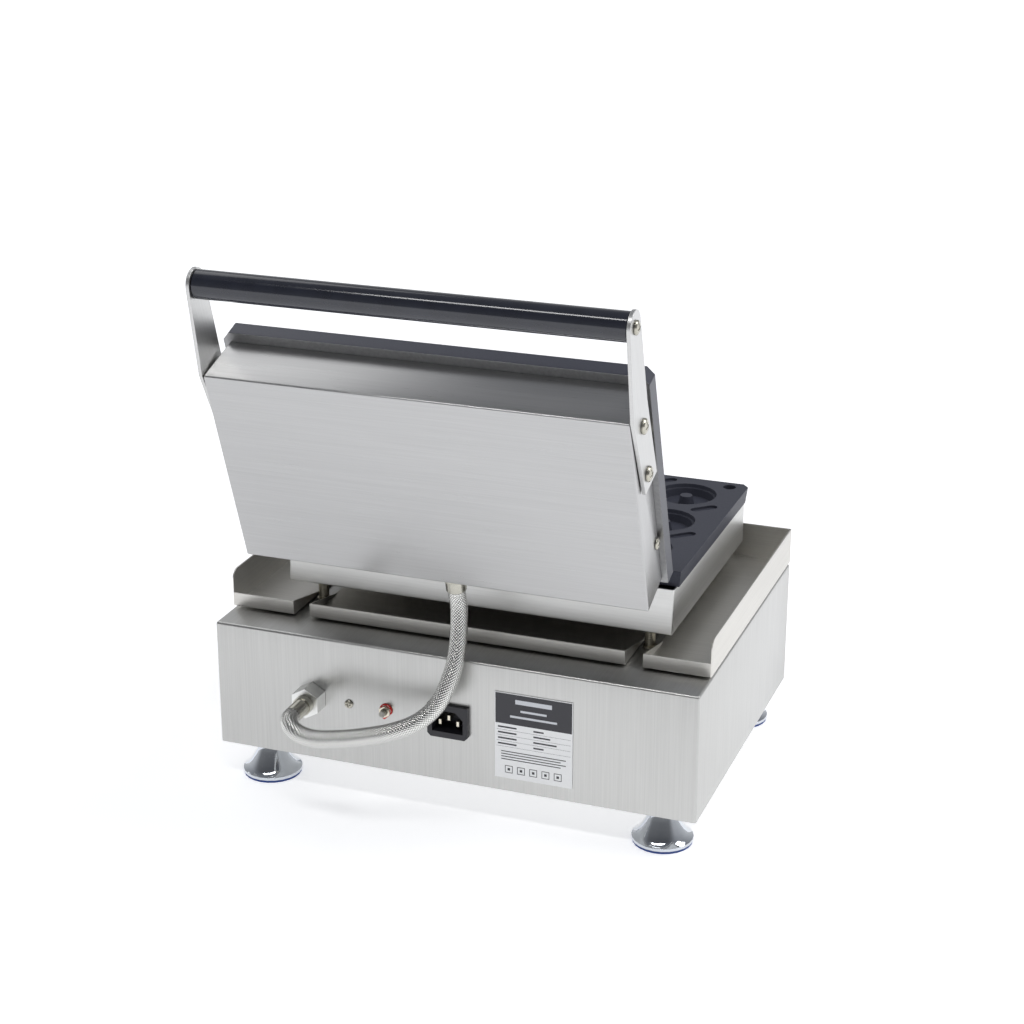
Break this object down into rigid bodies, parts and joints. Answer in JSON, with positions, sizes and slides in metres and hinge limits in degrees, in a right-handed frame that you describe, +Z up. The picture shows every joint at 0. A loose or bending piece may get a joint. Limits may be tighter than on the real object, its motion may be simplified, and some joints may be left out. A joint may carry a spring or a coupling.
{
  "type": "donut maker",
  "caption": "Electric mini donut maker: steel base on levelling feet, pull-out drip tray, two cast plates with ring wells and a rear-hinged lid with a bar handle.",
  "frame": {"origin": "centre of the footprint, on the surface that the feet stand on", "axes": "+Z up, +Y towards the rear wall with the mains inlet, -Y towards the controls, +X to the right seen from the front"},
  "size_m": [0.38, 0.3667, 0.4248],
  "materials": {
    "brushed_steel": "brushed stainless steel sheet",
    "polished_steel": "bright stainless steel fasteners and posts",
    "chrome": "bright chrome plating",
    "blue_rubber": "dark blue moulded rubber",
    "steel_braid": "stainless steel wire braid over a liner",
    "coated_plate": "cast plate with a dark blue-grey non-stick coating",
    "heating_element": "oxidised steel-sheathed heating element",
    "gloss_black": "gloss black plastic",
    "matt_black": "matt black plastic",
    "brass": "tinned brass",
    "label_film": null,
    "red_film": "red and white tag film",
    "green_lens": "green translucent lens",
    "amber_lens": "amber translucent lens",
    "ceramic": "glazed white ceramic"
  },
  "bodies": {
    "base": {"base_housing": "brushed_steel", "bottom_cover": "brushed_steel", "earth_nut": "brass", "earth_stud": "polished_steel", "earth_tag": "red_film", "heat_lamp": "amber_lens", "hinge_pin_left": "polished_steel", "hinge_pin_right": "polished_steel", "hose": "steel_braid", "hose_ferrule": "brushed_steel", "hose_nut": "chrome", "inlet_blade_earth": "brass", "inlet_blade_left": "brass", "inlet_blade_right": "brass", "lower_box": "brushed_steel", "lower_heater": "heating_element", "lower_plate": "coated_plate", "post_front_left": "polished_steel", "post_front_right": "polished_steel", "post_rear_left": "polished_steel", "post_rear_right": "polished_steel", "power_inlet": "matt_black", "power_lamp": "green_lens", "rating_plate": "label_film", "rear_screw": "polished_steel", "switch_frame": "matt_black", "terminal_block": "ceramic", "terminal_screw": "polished_steel", "thermostat": "matt_black", "timer": "matt_black"},
    "lid": {"upper_box": "brushed_steel", "upper_plate": "coated_plate", "upper_heater": "heating_element", "arm_left": "brushed_steel", "arm_right": "brushed_steel", "handle_grip": "gloss_black", "handle_screw_left": "polished_steel", "handle_screw_right": "polished_steel", "lid_hose_ferrule": "chrome", "arm_screw_front_left": "polished_steel", "arm_screw_front_right": "polished_steel", "arm_screw_rear_left": "polished_steel", "arm_screw_rear_right": "polished_steel", "box_screw_front_left": "polished_steel", "box_screw_front_right": "polished_steel", "box_screw_rear_left": "polished_steel", "box_screw_rear_right": "polished_steel"},
    "tray": {"drip_tray": "brushed_steel"},
    "switch_rocker": {"power_switch": "gloss_black"},
    "thermostat_dial": {"thermostat_knob": "gloss_black"},
    "timer_dial": {"timer_knob": "gloss_black"},
    "foot_rear_left": {"foot_rear_left": "chrome", "foot_pad_rear_left": "blue_rubber"},
    "foot_rear_right": {"foot_rear_right": "chrome", "foot_pad_rear_right": "blue_rubber"},
    "foot_front_left": {"foot_front_left": "chrome", "foot_pad_front_left": "blue_rubber"},
    "foot_front_right": {"foot_front_right": "chrome", "foot_pad_front_right": "blue_rubber"}
  },
  "joints": [
    {"name": "lid_hinge", "type": "hinge", "parent": "base", "child": "lid", "pos_m": [0, 0.05121, 0.189], "axis": [1, 0, 0], "range_deg": [0, 109.2], "deforming": ["hose"]},
    {"name": "drip_tray_slide", "type": "slide", "parent": "base", "child": "tray", "axis": [0, -1, 0], "range_m": [0, 0.22]},
    {"name": "power_switch_rock", "type": "hinge", "parent": "base", "child": "switch_rocker", "pos_m": [-0.135, -0.15339, 0.081], "axis": [1, 0, 0], "range_deg": [0, 16]},
    {"name": "thermostat_turn", "type": "hinge", "parent": "base", "child": "thermostat_dial", "pos_m": [-0.035, -0.15939, 0.081], "axis": [0, 1, 0], "range_deg": [0, 270]},
    {"name": "timer_turn", "type": "hinge", "parent": "base", "child": "timer_dial", "pos_m": [0.08, -0.15939, 0.081], "axis": [0, 1, 0], "range_deg": [0, 300]},
    {"name": "foot_rear_left_level", "type": "slide", "parent": "base", "child": "foot_rear_left", "axis": [0, 0, -1], "range_m": [0, 0.008]},
    {"name": "foot_rear_right_level", "type": "slide", "parent": "base", "child": "foot_rear_right", "axis": [0, 0, -1], "range_m": [0, 0.008]},
    {"name": "foot_front_left_level", "type": "slide", "parent": "base", "child": "foot_front_left", "axis": [0, 0, -1], "range_m": [0, 0.008]},
    {"name": "foot_front_right_level", "type": "slide", "parent": "base", "child": "foot_front_right", "axis": [0, 0, -1], "range_m": [0, 0.008]}
  ]
}
